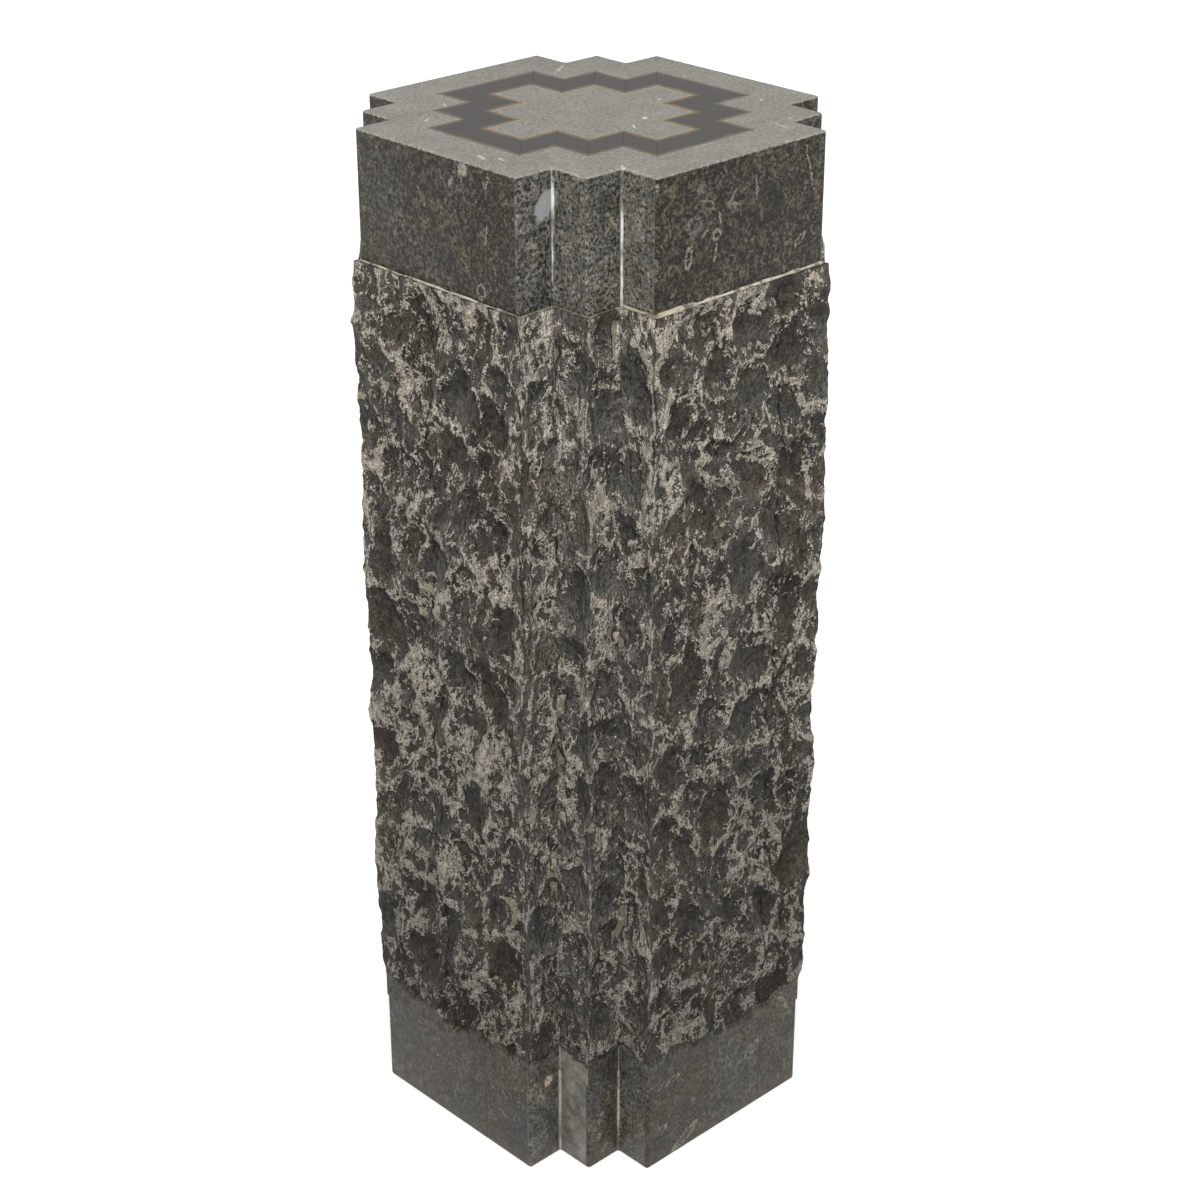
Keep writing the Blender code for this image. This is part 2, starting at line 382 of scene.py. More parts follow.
def make_fossil_stone():
    """Node group: the colour and grain of the dark limestone.

    Brown and grey clouds, a mottle over them, a fine speckle whose strength is an input and
    less on light tiles, pale broken veins along the borders of a bent cell pattern, and small
    shell rings. Each tile reads the pattern at its own place, moved by its tone, and is
    lighter, or darker and warmer.
    """
    tree, wire, ins, outs = start_group(
        "fossil_stone",
        {"Vector": "vector", "Tone": "number", "Speckle": "number"},
        {"Color": "colour", "Grain": "number"},
    )
    tone = ins["Tone"]
    shift = wire.scaled((3.7, 5.3, 2.9), tone)
    place = wire.vector("ADD", ins["Vector"], shift)
    hue = wire.maths("ADD", wire.noise(place, 15.0, 4.0, 0.6), wire.times(tone, 0.18))
    cloud = wire.noise(place, 24.0, 4.0, 0.6)
    mottle = wire.noise(place, 95.0, 4.0, 0.6)
    speckle = wire.noise(place, 330.0, 3.0, 0.65)
    dust = wire.noise(place, 900.0, 2.0, 0.6)

    brown = (0.049, 0.042, 0.030)
    grey = (0.0415, 0.040, 0.0345)
    ground = wire.blend(wire.rise(hue, 0.64, 0.46), grey, brown)
    grain = wire.maths("ADD", wire.times(speckle, 1.3), wire.times(dust, 0.7))
    swing = wire.times(wire.minus(grain, 1.0), ins["Speckle"])
    swing = wire.times(swing, wire.line(tone, -0.45, 1.30))
    level = wire.line(cloud, 1.7, 0.15)
    for value, slope, offset in ((mottle, 2.5, -0.25), (swing, 4.4, 1.0), (tone, 0.9, 0.55)):
        level = wire.times(level, wire.line(value, slope, offset))
    ground = wire.scaled(ground, wire.maths("MAXIMUM", level, 0.10))
    warm = wire.vector("MULTIPLY", ground, (0.93, 0.90, 0.81))
    ground = wire.blend(wire.rise(tone, 0.9, 0.1), ground, warm)

    bend = wire.noise(place, 34.0, 3.0, 0.5, "Color")
    bent = wire.vector("MULTIPLY_ADD", bend, (0.035, 0.035, 0.035), place)
    borders = wire.cells(bent, 15.0, "DISTANCE_TO_EDGE")
    vein = wire.rise(borders["Distance"], 0.022, 0.004)
    vein = wire.times(vein, wire.rise(cloud, 0.56, 0.64))
    vein = wire.times(vein, wire.rise(mottle, 0.40, 0.55))
    colour = wire.lay((0.26, 0.235, 0.185), 0.45, vein, ground)

    bent_less = wire.vector("MULTIPLY_ADD", bend, (0.018, 0.018, 0.018), place)
    shells = wire.cells(bent_less, 78.0)
    pick = wire.parts(shells["Color"], "Color")[0]
    off_rim = wire.maths("ABSOLUTE", wire.minus(shells["Distance"], 0.36))
    shell = wire.times(wire.rise(off_rim, 0.09, 0.03), wire.rise(pick, 0.72, 0.80))
    shell = wire.times(shell, wire.rise(speckle, 0.42, 0.55))
    colour = wire.lay((0.150, 0.140, 0.112), 0.42, shell, colour)
    wire.put(outs["Color"], colour)
    wire.put(outs["Grain"], grain)
    return tree


def make_shell_mark():
    """Node group: the mask of one fossil, an ellipse on a flat face, full or only its rim.

    r = sqrt((d.along / half length)^2 + (d.across / half width)^2), where d is the way from
    the mark's centre, moved by the shake. Full marks are where r < 1, rims where r is near
    0.8, and both only within 3 mm of the face. The mark is worn away where Whole is 0.
    """
    vectors = dict.fromkeys(("Vector", "Centre", "Along", "Across", "Shake"), "vector")
    numbers = dict.fromkeys(("Half Length", "Half Width", "Rim", "Whole"), "number")
    tree, wire, ins, outs = start_group("shell_mark", vectors | numbers, {"Mask": "number"})
    away = wire.vector("SUBTRACT", ins["Vector"], ins["Centre"])
    away_shaken = wire.vector("MULTIPLY_ADD", ins["Shake"], (0.007, 0.007, 0.007), away)
    lengthwise = wire.vector("DOT_PRODUCT", away_shaken, ins["Along"])
    crosswise = wire.vector("DOT_PRODUCT", away_shaken, ins["Across"])
    lengthwise = wire.maths("DIVIDE", lengthwise, ins["Half Length"])
    crosswise = wire.maths("DIVIDE", crosswise, ins["Half Width"])
    squares = wire.line(crosswise, crosswise, wire.times(lengthwise, lengthwise))
    radius = wire.maths("SQRT", squares)
    full = wire.rise(radius, 1.05, 0.80)
    rim = wire.rise(wire.maths("ABSOLUTE", wire.minus(radius, 0.8)), 0.30, 0.12)
    shape = wire.node("ShaderNodeMix", data_type="FLOAT")
    wire.put(shape.inputs[0], ins["Rim"])
    wire.put(shape.inputs[2], full)
    wire.put(shape.inputs[3], rim)
    normal = wire.vector("CROSS_PRODUCT", ins["Along"], ins["Across"])
    off_face = wire.maths("ABSOLUTE", wire.vector("DOT_PRODUCT", away, normal))
    near_face = wire.rise(off_face, 0.0035, 0.0025)
    mask = wire.times(shape.outputs[0], wire.times(near_face, ins["Whole"]))
    wire.put(outs["Mask"], mask)
    return tree


fossil_stone = make_fossil_stone()
shell_mark = make_shell_mark()
cream = (0.30, 0.265, 0.20)
pale_grey = (0.150, 0.148, 0.138)
# Pale grey of the patch on the cap's deep step: a painted sheen.
sheen_grey = (0.250, 0.252, 0.256)


def add_marks(wire, place, colour, marks, tint, strength, worn_and_lit=1.0):
    """Lay a list of fossil marks over a colour.

    A mark is (face, across, up, half length, half width, turn in degrees, rim), where face is
    the axis that the mark's face looks along and its distance from the middle, and rim is 1
    for a ring. The last argument is how far a fine noise eats through the marks, from 0 to 1.
    """
    shake = wire.vector("SUBTRACT", wire.noise(place, 260.0, 3.0, 0.6, "Color"), (0.5, 0.5, 0.5))
    whole = wire.rise(wire.noise(place, 480.0, 3.0, 0.6), 0.40, 0.52)
    whole = wire.maths("MAXIMUM", whole, 1.0 - worn_and_lit)
    total = 0.0
    for (axis, distance), across, up, half_length, half_width, turn, rim in marks:
        flat = np.zeros(3)
        flat[1 if axis == "x" else 0] = 1.0
        rising = np.array((0.0, 1.0, 0.0) if axis == "z" else (0.0, 0.0, 1.0))
        centre = across * flat + up * rising
        centre["xyz".index(axis)] = distance
        angle = math.radians(turn)
        mark = wire.group(
            shell_mark,
            Vector=place,
            Centre=tuple(centre),
            Along=tuple(math.cos(angle) * flat + math.sin(angle) * rising),
            Across=tuple(math.cos(angle) * rising - math.sin(angle) * flat),
            Half_Length=half_length, Half_Width=half_width, Rim=rim, Shake=shake, Whole=whole,
        )
        total = wire.maths("MAXIMUM", mark.outputs["Mask"], total)
    return wire.lay(tint, strength, total, colour)


def start_material(name):
    """A new material with its wiring and its Principled shader."""
    material = bpy.data.materials.new(name)
    material.use_nodes = True
    shader = material.node_tree.nodes["Principled BSDF"]
    shader.inputs["Specular IOR Level"].default_value = 0.25
    return material, Wiring(material.node_tree), shader


def paint_cove_highlights(wire, place, colour, strength):
    """Painted highlights in the coves, in broken upright streaks."""
    streaks = wire.noise(wire.vector("MULTIPLY", place, (1.0, 1.0, 0.16)), 150.0, 3.0, 0.6)
    cove_highlight_mask = wire.times(wire.rise(wire.look("cove"), 0.50, 1.0), wire.rise(streaks, 0.40, 0.60))
    return wire.lay((0.66, 0.66, 0.64), strength, cove_highlight_mask, colour)


def dress_course(wire, place, colour, cove_highlight_strength):
    """Painted highlights in the coves, and the dark seams of a polished course."""
    colour = paint_cove_highlights(wire, place, colour, cove_highlight_strength)
    seam = wire.rise(wire.look("seam"), 0.2, 1.0)
    return wire.lay((0.022, 0.020, 0.017), 0.7, seam, colour)


def finish_honed(wire, shader, place, stone, colour, dullest, relief):
    """Give the shader its colour, a fine scratched shine and the stone's grain."""
    wire.put(shader.inputs["Base Color"], colour)
    scratches = wire.noise(place, 700.0, 2.0)
    wire.put(shader.inputs["Roughness"], wire.line(scratches, 0.22, dullest))
    wire.bump(shader, stone.outputs["Grain"], relief, 0.0005)


base_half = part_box("base_block")[1][0]
base_seams = {4: (0.42,), 9: (0.71,), 14: (0.39, 0.75), 19: (0.56,)}
base_tones = {
    9: (0.20, 0.14), 10: (0.90,), 11: (2.40,), 12: (0.52,), 13: (0.82,), 14: (0.22, 0.33, 0.29)
}
base_lightness = 0.86
base_right = ("y", -base_half)
base_step = ("y", -(base_half - corner_step))
base_deep_step = ("y", -(base_half - 2 * corner_step))
base_marks = (
    (base_right, -0.066, 0.084, 0.01, 0.003, 18, 1),
    (base_right, -0.083, 0.083, 0.004, 0.0022, 30, 1),
    (base_right, -0.04, 0.047, 0.0026, 0.0026, 0, 1),
    (base_right, -0.05, 0.012, 0.02, 0.005, 28, 1),
    (base_right, -0.075, 0.036, 0.003, 0.0045, 10, 0),
    (base_right, -0.088, 0.1, 0.0012, 0.012, 8, 0),
    (base_step, -0.12, 0.048, 0.0016, 0.008, -20, 1),
    (base_step, -0.122, 0.03, 0.003, 0.003, 0, 1),
    (base_step, -0.116, 0.014, 0.006, 0.0018, 35, 1),
)
shell_bean = ((base_deep_step, -0.1495, 0.085, 0.005, 0.0062, -20, 0),)


def make_base_stone(name):
    """Honed base: soft mottle, rust brown along the foot, and shells on the front."""
    material, wire, shader = start_material(name)
    place = wire.place()
    stone = wire.group(fossil_stone, Vector=place, Tone=wire.look("tile_tone"), Speckle=0.95)
    colour = wire.scaled(stone.outputs["Color"], base_lightness)
    blotch = wire.noise(place, 30.0, 4.0)
    near_foot = wire.line(blotch, -0.030, wire.parts(place)[2])
    rust = wire.rise(near_foot, 0.004, -0.010)
    colour = wire.lay((0.050, 0.036, 0.018), 0.40, rust, colour)
    colour = add_marks(wire, place, colour, base_marks, cream, 0.42)
    colour = add_marks(wire, place, colour, shell_bean, (0.33, 0.255, 0.185), 0.95)
    colour = dress_course(wire, place, colour, 0.22)
    finish_honed(wire, shader, place, stone, colour, 0.27, 0.10)
    return material


def quarter_round(radius):
    """Insets and rises along a quarter circle: r (1 - sin t) inwards and r (1 - cos t) up."""
    turns = np.linspace(0.0, math.pi / 2, 6)
    return radius * (1 - np.sin(turns)), radius * (1 - np.cos(turns))


foot_insets, foot_rises = quarter_round(foot_round)
base_insets = np.append(foot_insets, 0.0)
base_heights = np.append(foot_rises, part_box("split_shaft")[0][2] - bed_gap)
base_rings = []
base_looks = []
for level_inset in base_insets:
    ring, looks = course_ring(
        base_half - level_inset,
        max(foot_round - level_inset, sharp_round),
        cove_round + level_inset,
        base_seams,
        base_tones,
    )
    base_rings.append(ring)
    base_looks.append(looks)
base_stone = make_base_stone("base_stone")
add_course("base_course", base_rings, base_looks, base_heights, base_stone, "base_block")

# Split shaft
# The shaft is clad in upright slabs of the same limestone, split off with a chisel. Each blow
# left a bowl, and the ridges between bowls are bruised pale. The foot is ground flush with
# the base up to a ragged line, and filler runs down the inner corners. It is one closed mesh
# for each quarter of the plan, so that the split can be fine.
shaft_low, shaft_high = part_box("split_shaft")
shaft_half = shaft_high[0]
shaft_height = shaft_high[2] - shaft_low[2]
swell_depth = 0.005
swell_length = 0.115
blow_width = 0.036
blow_height = 0.046
blow_bottom = 0.0060
blow_rise = 0.015
blow_uneven = 0.008
blow_lean = 0.012
blow_wander = 0.018
edge_margin = 0.024
edge_ease = 0.62
top_margin = 0.016
top_margin_depth = 0.0065
foot_rise = 0.018
foot_ragged = 0.008
foot_ragged_length = 0.017
foot_fine_ragged = 0.006
foot_margin = 0.012
# A kind of bowl is its width, height, bottom, rise, unevenness and lean.
blow = (blow_width, blow_height, blow_bottom, blow_rise, blow_uneven, blow_lean)
spall = (0.0125, 0.0190, 0.0005, 0.0040, 0.0030, 0.0030)
chip = (0.0085, 0.0120, 0.0, 0.0042, 0.0034, 0.0060)
crumb = (0.0048, 0.0065, 0.0, 0.0020, 0.0018, 0.0040)
spall_reach = 0.007
ridge_reach = 0.009
fine_bend = 0.006
fibre_depth = 0.0014
fibre_width = 0.006
bruise_width = 0.0026
bruise_shake = 0.0030
spall_bruise_width = 0.0012
bruise_patch = 0.040
bruise_spot = 0.014
top_bruise = 0.0010
arris_bruise = 0.0060
arris_reach = 0.0040
torn_bruise_and_painted_light = 0.0022
seam_groove = 0.0013
joint_groove = 0.0016
grid_pitch = 0.0018
slab_joint = 0.0007
same_place = 1e-6
step_tones = (1.3, 0.5)
slab_step = 0.0016
joint_run = 0.075
filler_run = 0.085
filler_reach = 0.010
filler_depth = 0.0068
filler_swell = 0.0014
filler_sag = 0.0030
filler_edge = 0.0015
shaft_seams = {4: (0.33, 0.68), 9: (0.41, 0.62), 14: (0.37, 0.75), 19: (0.45, 0.71)}
foot_middle_lift = 0.007
# How strongly the slope of a bowl paints light and shade into the split stone's colour.
painted_slope_light_swing = 1.4
# How deep a hollow must lie to get the full painted shade.
hollow_shade_depth = 0.012
shaft_look_names = (
    "bruise", "painted_hollow_shade", "painted_slope_light", "ground", "joint", "filler", "slab_tone", "tile_tone", "cove"
)


def drift(along, up, length, salt, tallness=1.0):
    """Slow rise and fall from 0 to 1: lattice numbers blended by a smoothstep between them."""
    across = along / length
    above = up / (length * tallness)
    column = np.floor(across).astype(np.int64)
    row = np.floor(above).astype(np.int64)
    across = across - column
    above = above - row
    across = across * across * (3 - 2 * across)
    above = above * above * (3 - 2 * above)
    low = lattice_number(column, row, salt) * (1 - across)
    low += lattice_number(column + 1, row, salt) * across
    high = lattice_number(column, row + 1, salt) * (1 - across)
    high += lattice_number(column + 1, row + 1, salt) * across
    return low * (1 - above) + high * above


def bowls(along, up, kind, salt):
    """Depth of the deepest bowl, and how much deeper it is than the next one.

    Each lattice cell holds one blow, off centre by a repeatable amount. With x and y counting
    cells from the blow's centre, a bowl's depth is its bottom + lean in x + lean in y
    - rise (x^2 + y^2). Where the lead over the next bowl is nothing there is a ridge.
    """
    width, height, bottom, rise, uneven, lean = kind
    column = np.floor(along / width).astype(np.int64)
    row = np.floor(up / height).astype(np.int64)
    deepest = np.full(along.shape, -1.0)
    next_deepest = np.full(along.shape, -1.0)
    for beside in (column - 1, column, column + 1):
        for level in (row - 1, row, row + 1):
            x = along / width - beside - lattice_number(beside, level, salt + 3)
            y = up / height - level - lattice_number(beside, level, salt + 4)
            bowl = bottom + uneven * (lattice_number(beside, level, salt + 5) - 0.5)
            bowl += lean * (lattice_number(beside, level, salt + 6) - 0.5) * x
            bowl += lean * (lattice_number(beside, level, salt + 7) - 0.5) * y
            bowl -= rise * (x * x + y * y)
            next_deepest = np.maximum(next_deepest, np.minimum(deepest, bowl))
            deepest = np.maximum(deepest, bowl)
    return deepest, deepest - next_deepest


def split_columns(length, seams):
    """Distances along a side: an even grid, with close columns at its ends and seams.

    Of two columns that fall on the same place, one is kept.
    """
    even = np.linspace(0.0, length, round(length / grid_pitch) + 1)
    close = [slab_joint, length - slab_joint]
    for share in seams:
        close += [share * length - slab_joint, share * length, share * length + slab_joint]
    columns = np.sort(np.concatenate([even, close]))
    return columns[np.append(np.diff(columns) > same_place, True)]


def near(distance, reach):
    """1 at no distance, falling evenly to 0 at the reach."""
    return np.clip(1 - np.abs(distance) / reach, 0.0, 1.0)


def ramp(value, low, high):
    """0 up to low, rising evenly to 1 at high."""
    return np.clip((value - low) / (high - low), 0.0, 1.0)


def split_side(side, along, up, length, hollow_ends):
    """Depth of one side's split face behind the plane of its proudest ridges, and its looks.

    The face is a slow swell with bowls in it, small spalls along the ridges and fibres over
    all. It steadies under the cap and is ground flush at the foot. A ridge is bruised over a
    width that changes from place to place: bruise = that width - lead over the next bowl.
    The facing look paints light and shade: 1 where a bowl looks up and 0 where it looks down.
    """
    salt = 11 * side
    bent_along = along + blow_wander * (drift(along, up, blow_width, salt + 1) - 0.5)
    bent_up = up + blow_wander * (drift(along, up, blow_height, salt + 2) - 0.5)
    bent_along += fine_bend * (drift(along, up, 0.011, salt + 301) - 0.5)
    bent_up += fine_bend * (drift(along, up, 0.012, salt + 302) - 0.5)
    deepest, lead = bowls(bent_along, bent_up, blow, salt)
    spalls, spall_lead = bowls(bent_along, bent_up, spall, salt + 400)
    chips, _ = bowls(bent_along, bent_up, chip, salt + 500)
    crumbs, _ = bowls(along, up, crumb, salt + 600)
    # Painted light and shade: 1 where a bowl's slope looks up, 0 where it looks down.
    painted_slope_light = 0.5 + painted_slope_light_swing * np.gradient(np.maximum(deepest, 0.0), axis=0) / grid_pitch
    rough = swell_depth * drift(along, up, swell_length, salt) + np.maximum(deepest, 0.0)
    rough += near(lead, spall_reach) * spalls
    rough += chips + crumbs + fibre_depth * drift(along, up, fibre_width, salt + 303, 4.0)
    rough -= rough.min()
    from_edge = np.minimum(along, length - along)
    rough *= 1 - edge_ease * near(from_edge, edge_margin)

    patch = 0.5 * drift(along, up, bruise_patch, salt + 304)
    patch += 0.5 * drift(along, up, bruise_spot, salt + 305, 1.6)
    shake = bruise_shake * (drift(along, up, 0.007, salt + 306) - 0.5)
    bruise = bruise_width * ramp(patch, 0.32, 0.68) - lead - shake
    spall_bruise = spall_bruise_width * ramp(patch, 0.46, 0.68) - spall_lead
    bruise = np.maximum(bruise, np.where(lead < ridge_reach, spall_bruise, -1.0))
    under_cap = near(shaft_height - up, 0.05)
    bruise += top_bruise * under_cap * (drift(along, up, 0.03, salt + 307) - 0.2)

    seam = np.zeros(along.shape)
    slab = np.zeros(along.shape)
    for share in shaft_seams.get(side, ()):
        seam = np.maximum(seam, near(along - share * length, slab_joint))
        slab += along > share * length
    slab_tone = lattice_number(slab.astype(np.int64), np.full(along.shape, side), 72)
    if side % 5 != 4:
        slab_tone = slab_tone * step_tones[1] + step_tones[0]
    rough += slab_step * (slab_tone % 1.0) + seam_groove * seam
    open_joint = ramp(drift(along * 0, up, joint_run, side // 2 + 308), 0.50, 0.62)
    filler = np.zeros(along.shape)
    cove = np.zeros(along.shape)
    filler_face = filler_depth + filler_swell * (drift(along, up, 0.008, salt + 309) - 0.5)
    filler_here = ramp(drift(along * 0, up, filler_run, side // 2 + 311), 0.48, 0.60)
    for distance, is_hollow in zip((along, length - along), hollow_ends):
        if is_hollow:
            cove = np.maximum(cove, near(distance, cove_round))
            share = near(distance, filler_reach)
            filled = filler_face - filler_sag * share * share
            fill = np.where(share > 0, np.maximum(rough - filled, 0.0), 0.0) * filler_here
            rough -= fill
            shown = ramp(fill, 0.0, filler_edge) * np.clip(3 * share, 0.0, 1.0)
            filler = np.maximum(filler, shown)
        else:
            gap = near(distance, slab_joint) * open_joint
            rough += joint_groove * gap
            seam = np.maximum(seam, gap)
            worn_arris = drift(along * 0, up, 0.015, side // 2 + 313) - 0.45
            bruise += arris_bruise * near(distance, arris_reach) * worn_arris
    near_top = near(shaft_height - up, top_margin)
    rough += (top_margin_depth - rough) * near_top
    flush_depth = shaft_half - base_half
    from_corner = from_edge / (shaft_half - 2 * corner_step)
    ground_line = foot_rise * (1 - from_corner) + foot_middle_lift * from_corner
    ground_line += foot_ragged * drift(along, up * 0, foot_ragged_length, salt + 8)
    ground_line += foot_fine_ragged * (drift(along, up, 0.006, salt + 310) - 0.5)
    above_ground = ramp(up, ground_line, ground_line + foot_margin)
    depth = flush_depth + (rough - flush_depth) * above_ground
    # The pale bruise along the ragged line is also painted light over the shade of the step
    # there.
    torn_bruise_and_light_band = near(up - ground_line - 0.5 * foot_margin, foot_margin)
    bruise += torn_bruise_and_painted_light * torn_bruise_and_light_band * (drift(along, up, 0.016, salt + 312) - 0.15)
    # Painted shade: the deeper the face lies, the darker it is drawn.
    painted_hollow_shade = ramp(rough, 0.0, hollow_shade_depth)
    bruise = np.clip(bruise * 1000, -4.0, 3.0)
    foot_seams = base_seams.get(side, ())
    foot_tones = np.array(tile_tones(base_tones, side, foot_seams))
    tile = np.zeros(along.shape, np.int64)
    for share in foot_seams:
        tile += along > share * length
        seam = np.maximum(seam, near(along - share * length, slab_joint) * (1 - above_ground))
    on_foot = 1 - above_ground
    filler = filler * above_ground
    painted_slope_light = np.clip(painted_slope_light, 0.0, 1.0)
    looks = (bruise, painted_hollow_shade, painted_slope_light, on_foot, seam, filler, slab_tone, foot_tones[tile])
    return depth, np.stack((*looks, cove * on_foot))


def shaft_quarter(first_side):
    """One quarter of the shaft: five sides of the stepped outline from an end of a wide face.

    A corner is moved by the depths of both its sides, and the columns between two corners
    keep their shares of the way: point = (1 - q) first corner + q last corner, then moved
    along the side's normal to its own depth.
    """
    outline = stepped_corners(shaft_half)
    ups = np.linspace(0.0, shaft_height, round(shaft_height / grid_pitch) + 1)
    sides = []
    for side in range(first_side - 1, first_side + 6):
        start, end, length, outward = side_line(outline, side)
        seams_here = shaft_seams.get(side % 20, ()) + base_seams.get(side % 20, ())
        columns = split_columns(length, seams_here)
        along, up = np.meshgrid(columns, ups)
        hollow_ends = (side % 5 in (1, 3), side % 5 in (0, 2))
        depth, looks = split_side(side % 20, along, up, length, hollow_ends)
        sides.append((start, columns / length, outward, depth, looks))
    corners = []
    for before, here in zip(sides, sides[1:]):
        corners.append(here[0] - before[3][:, -1:] * before[2] - here[3][:, :1] * here[2])
    places = []
    all_looks = []
    for index in range(1, 6):
        start, shares, outward, depth, looks = sides[index]
        count = len(shares) if index == 5 else len(shares) - 1
        first_corner = corners[index - 1][:, None, :]
        last_corner = corners[index][:, None, :]
        points = first_corner + (last_corner - first_corner) * shares[None, :count, None]
        off_plane = (points - start) @ outward + depth[:, :count]
        places.append(points - off_plane[:, :, None] * outward)
        all_looks.append(looks[:, :, :count])
    return np.concatenate(places, axis=1), ups + shaft_low[2], np.concatenate(all_looks, axis=2)


def close_quarter(name, rings, heights, looks):
    """A closed mesh of a quarter: its split face, two flat inner faces and two lids."""
    rows, count = rings.shape[:2]
    with_middle = np.zeros((rows, count + 1, 2))
    with_middle[:, :count] = rings
    mesh = loft(name, with_middle, heights)
    for layer, look_name in enumerate(shaft_look_names):
        values = np.zeros((rows, count + 1))
        values[:, :count] = looks[layer]
        keep_look(mesh, look_name, values)
    smooth_below(mesh, 75)
    return mesh


def make_split_stone(name):
    """Split stone: dark fibrous bowls, pale crushed ridges, filler and the honed foot."""
    material, wire, shader = start_material(name)
    place = wire.place()
    tone = wire.look("slab_tone")
    upright = wire.vector("MULTIPLY", place, (1.0, 1.0, 0.30))
    fibre = wire.noise(upright, 520.0, 4.0, 0.65)
    grit = wire.noise(place, 620.0, 3.0, 0.6)
    crumb = wire.noise(wire.vector("MULTIPLY", place, (1.0, 1.0, 0.6)), 230.0, 4.0, 0.6)
    flake = wire.noise(wire.vector("MULTIPLY", place, (1.0, 1.0, 0.6)), 105.0, 3.0, 0.6)
    patch = wire.noise(place, 60.0, 4.0, 0.6)
    cloud = wire.noise(place, 17.0, 4.0, 0.6)

    hue = wire.line(tone, 0.10, cloud)
    dark = wire.blend(wire.rise(hue, 0.44, 0.66), (0.075, 0.063, 0.048), (0.068, 0.065, 0.057))
    flake_ridge = wire.maths("ABSOLUTE", wire.minus(flake, 0.5))
    crumb_ridge = wire.maths("ABSOLUTE", wire.minus(crumb, 0.5))
    level = wire.line(wire.minus(fibre, 0.5), 1.8, 1.0)
    # The hollow look paints shade into the hollows, and the facing look paints light on up-facing
    # slopes and shade on down-facing ones.
    for value, slope, offset in (
        (grit, 2.8, -0.40), (patch, 1.2, 0.40), (crumb, 2.4, -0.20),
        (wire.look("painted_hollow_shade"), -0.45, 1.22), (tone, 0.25, 0.87), (wire.look("painted_slope_light"), 0.90, 0.55),
    ):
        level = wire.times(level, wire.line(value, slope, offset))
    dark = wire.scaled(dark, wire.maths("MAXIMUM", level, 0.25))
    flecks = wire.times(wire.rise(crumb_ridge, 0.022, 0.006), wire.rise(patch, 0.46, 0.60))
    dark = wire.lay((0.210, 0.190, 0.158), 0.40, flecks, dark)

    score = wire.look("bruise")
    score = wire.line(wire.minus(0.06, flake_ridge), 16.0, score)
    score = wire.line(wire.minus(0.06, crumb_ridge), 14.0, score)
    score = wire.line(wire.minus(grit, 0.5), 5.0, score)
    pale_share = wire.rise(score, -0.02, 0.60)
    pale_grain = wire.maths("ADD", wire.times(grit, 0.6), wire.times(crumb, 0.6))
    crushed = wire.rise(pale_grain, 0.48, 0.72)
    pale = wire.blend(crushed, (0.210, 0.187, 0.150), (0.570, 0.522, 0.440))
    pale = wire.blend(wire.rise(cloud, 0.62, 0.72), pale, (0.34, 0.29, 0.20))
    colour = wire.lay(pale, 0.95, pale_share, dark)
    # Painted shade: the colour darkens towards the bottom and lightens towards the top.
    colour = wire.scaled(colour, wire.line(wire.parts(place)[2], 1.12, 0.57))

    # Painted glints: rare white specks that stand for highlights.
    painted_glint_cells = wire.cells(place, 240.0)
    pick = wire.parts(painted_glint_cells["Color"], "Color")[0]
    painted_glint = wire.times(wire.rise(pick, 0.984, 0.988), wire.rise(painted_glint_cells["Distance"], 0.24, 0.12))
    colour = wire.blend(painted_glint, colour, (0.75, 0.73, 0.68))

    streak = wire.noise(wire.vector("MULTIPLY", place, (1.0, 1.0, 0.12)), 260.0, 3.0)
    filler_colour = wire.blend(streak, (0.060, 0.048, 0.034), (0.135, 0.112, 0.082))
    filler = wire.rise(wire.look("filler"), 0.25, 0.85)
    colour = wire.lay(filler_colour, 0.6, filler, colour)

    ground = wire.line(wire.minus(crumb, 0.5), 0.9, wire.look("ground"))
    honed_share = wire.rise(ground, 0.42, 0.72)
    honed = wire.group(fossil_stone, Vector=place, Tone=wire.look("tile_tone"), Speckle=0.95)
    honed_colour = wire.scaled(honed.outputs["Color"], base_lightness)
    # Painted highlights in the coves of the honed foot.
    honed_colour = paint_cove_highlights(wire, place, honed_colour, 0.22)
    colour = wire.blend(honed_share, colour, honed_colour)
    joint = wire.rise(wire.look("joint"), 0.15, 0.9)
    colour = wire.lay((0.012, 0.010, 0.008), 0.75, joint, colour)
    wire.put(shader.inputs["Base Color"], colour)

    roughness = wire.line(pale_share, 0.16, 0.60)
    roughness = wire.line(honed_share, -0.25, roughness)
    wire.put(shader.inputs["Roughness"], roughness)
    height = wire.maths("ADD", wire.times(fibre, 0.5), wire.times(crumb, 1.0))
    for value, share in ((flake_ridge, -2.6), (grit, 0.25), (pale_share, 0.20)):
        height = wire.line(value, share, height)
    rough_share = wire.minus(1.0, wire.maths("MAXIMUM", honed_share, filler))
    height = wire.times(height, rough_share)
    wire.bump(shader, height, 1.0, 0.0160)
    return material


split_stone = make_split_stone("split_stone")
for quarter in range(4):
    quarter_name = f"shaft_quarter_{quarter + 1}"
    quarter_mesh = close_quarter(quarter_name, *shaft_quarter(5 * quarter))
    add_piece(quarter_name, quarter_mesh, split_stone, "split_stone", "split_shaft")

# Bed filler
# A cream filler was pressed into the joint between shaft and cap and wiped off by hand. It
# lies on the shaft's top ledge against the cap, thick on the right-hand side and thin on the
# front steps.
cap_low, cap_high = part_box("cap_block")
cap_half = cap_high[0]
bead_sizes = {9: 0.0011, 10: 0.0003, 11: 0.0004, 12: 0.0004, 13: 0.0021, 14: 0.0024}
bead_plain_size = 0.0015
bead_pitch = 0.003
bead_foot = 0.0008
bead_sink = 0.0002
bead_thinnest = 0.45
bead_swell = 1.1
bead_swell_length = 0.012


